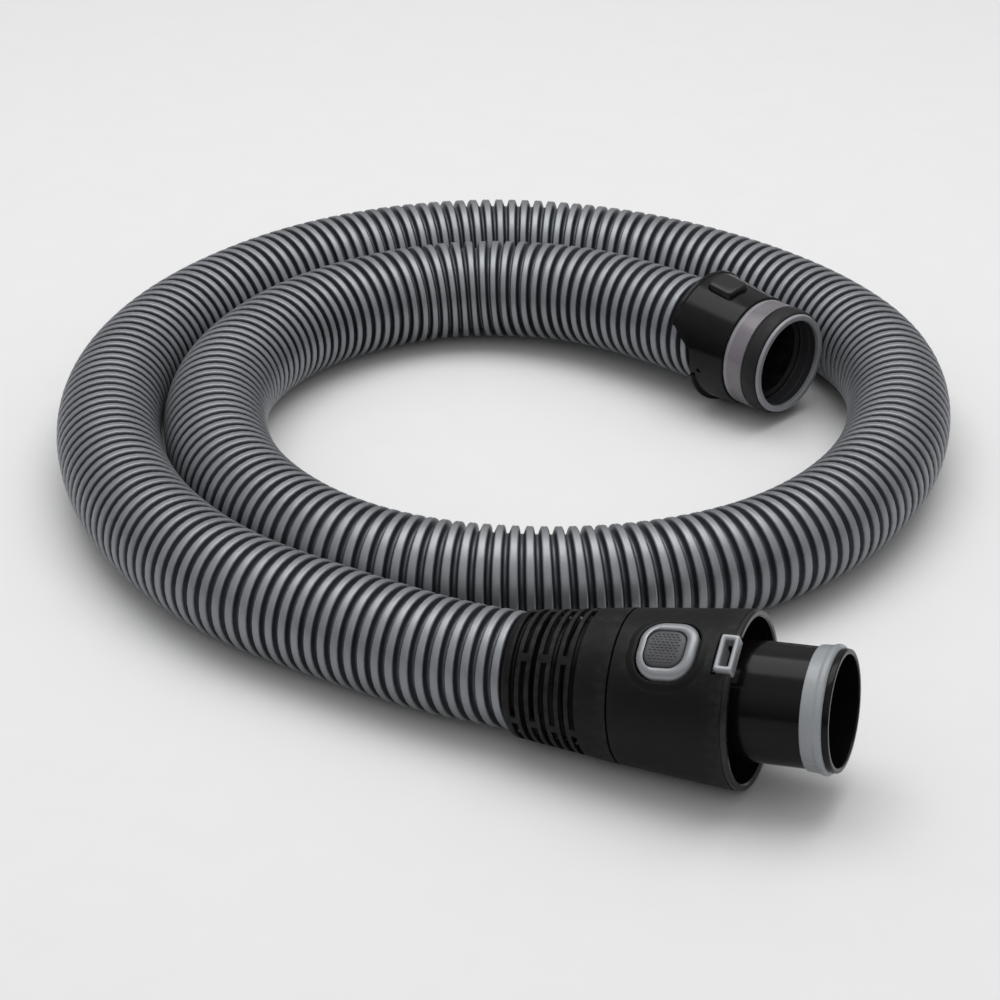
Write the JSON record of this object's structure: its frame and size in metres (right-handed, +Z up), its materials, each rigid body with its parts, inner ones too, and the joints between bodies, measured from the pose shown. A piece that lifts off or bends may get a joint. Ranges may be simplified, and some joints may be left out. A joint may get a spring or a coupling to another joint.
{
  "type": "vacuum cleaner hose",
  "caption": "Ribbed suction hose lying in a flat spiral, with a swivelling machine connector that has a release rocker and a swivelling handle cuff with a snap button.",
  "frame": {"origin": "on the floor under the middle of the whole object's bounding box", "axes": "+Z up, +X the way the machine connector's spigot points in plan, +Y across it, away from the connector"},
  "size_m": [0.4159, 0.4425, 0.0686],
  "materials": {
    "hose_plastic": "satin silver-grey, ribbed",
    "dark_plastic": "fine satin",
    "rim_plastic": "satin black",
    "silver_plastic": "satin silver",
    "pad_plastic": "woven relief",
    "light_plastic": "satin light grey",
    "mauve_plastic": "satin mauve-grey",
    "rubber": "matte black",
    "clear_rubber": "smooth translucent grey silicone",
    "steel": "drawn spring wire"
  },
  "bodies": {
    "hose_body": {"hose": "hose_plastic", "machine_end_ferrule": "dark_plastic", "machine_end_clip": "steel", "bend_relief_collar": "dark_plastic", "handle_end_ferrule": "dark_plastic", "handle_end_clip": "steel"},
    "machine_connector": {"connector_housing": "dark_plastic", "mouth_rim_ring": "rim_plastic", "inlet_spigot": "dark_plastic", "spigot_seal_ring": "clear_rubber", "machine_swivel_seal": "rubber", "rocker_pivot_pin": "steel"},
    "rocker_lever": {"release_rocker": "silver_plastic", "rocker_grip_pad": "pad_plastic", "rocker_spring": "steel"},
    "handle_cuff": {"cuff_sleeve": "dark_plastic", "cuff_inner_tube": "light_plastic", "cuff_spacer_ring": "mauve_plastic", "cuff_seal_ring": "rubber", "handle_swivel_seal": "rubber", "snap_button_spring": "steel"},
    "cuff_button": {"snap_button": "dark_plastic"}
  },
  "joints": [
    {"name": "machine_connector_swivel", "type": "hinge", "parent": "hose_body", "child": "machine_connector", "pos_m": [0.12749, -0.1871, 0.03026], "axis": [0.9956, 0, 0.0939], "continuous": true},
    {"name": "release_rocker_tilt", "type": "hinge", "parent": "machine_connector", "child": "rocker_lever", "pos_m": [0.15746, -0.2012, 0.05762], "axis": [0.047, -0.866, -0.4978], "range_deg": [0, 6], "stiffness_Nm_per_rad": 0.6, "springref_deg": -5.73},
    {"name": "handle_cuff_swivel", "type": "hinge", "parent": "hose_body", "child": "handle_cuff", "pos_m": [0.08441, 0.10752, 0.0289], "axis": [0.9205, -0.3907, 0], "continuous": true},
    {"name": "snap_button_press", "type": "slide", "parent": "handle_cuff", "child": "cuff_button", "axis": [0.0307, 0.0722, -0.9969], "range_m": [0, 0.0015], "stiffness_N_per_m": 400, "springref_m": -0.005, "deforming": ["snap_button_spring"]}
  ]
}
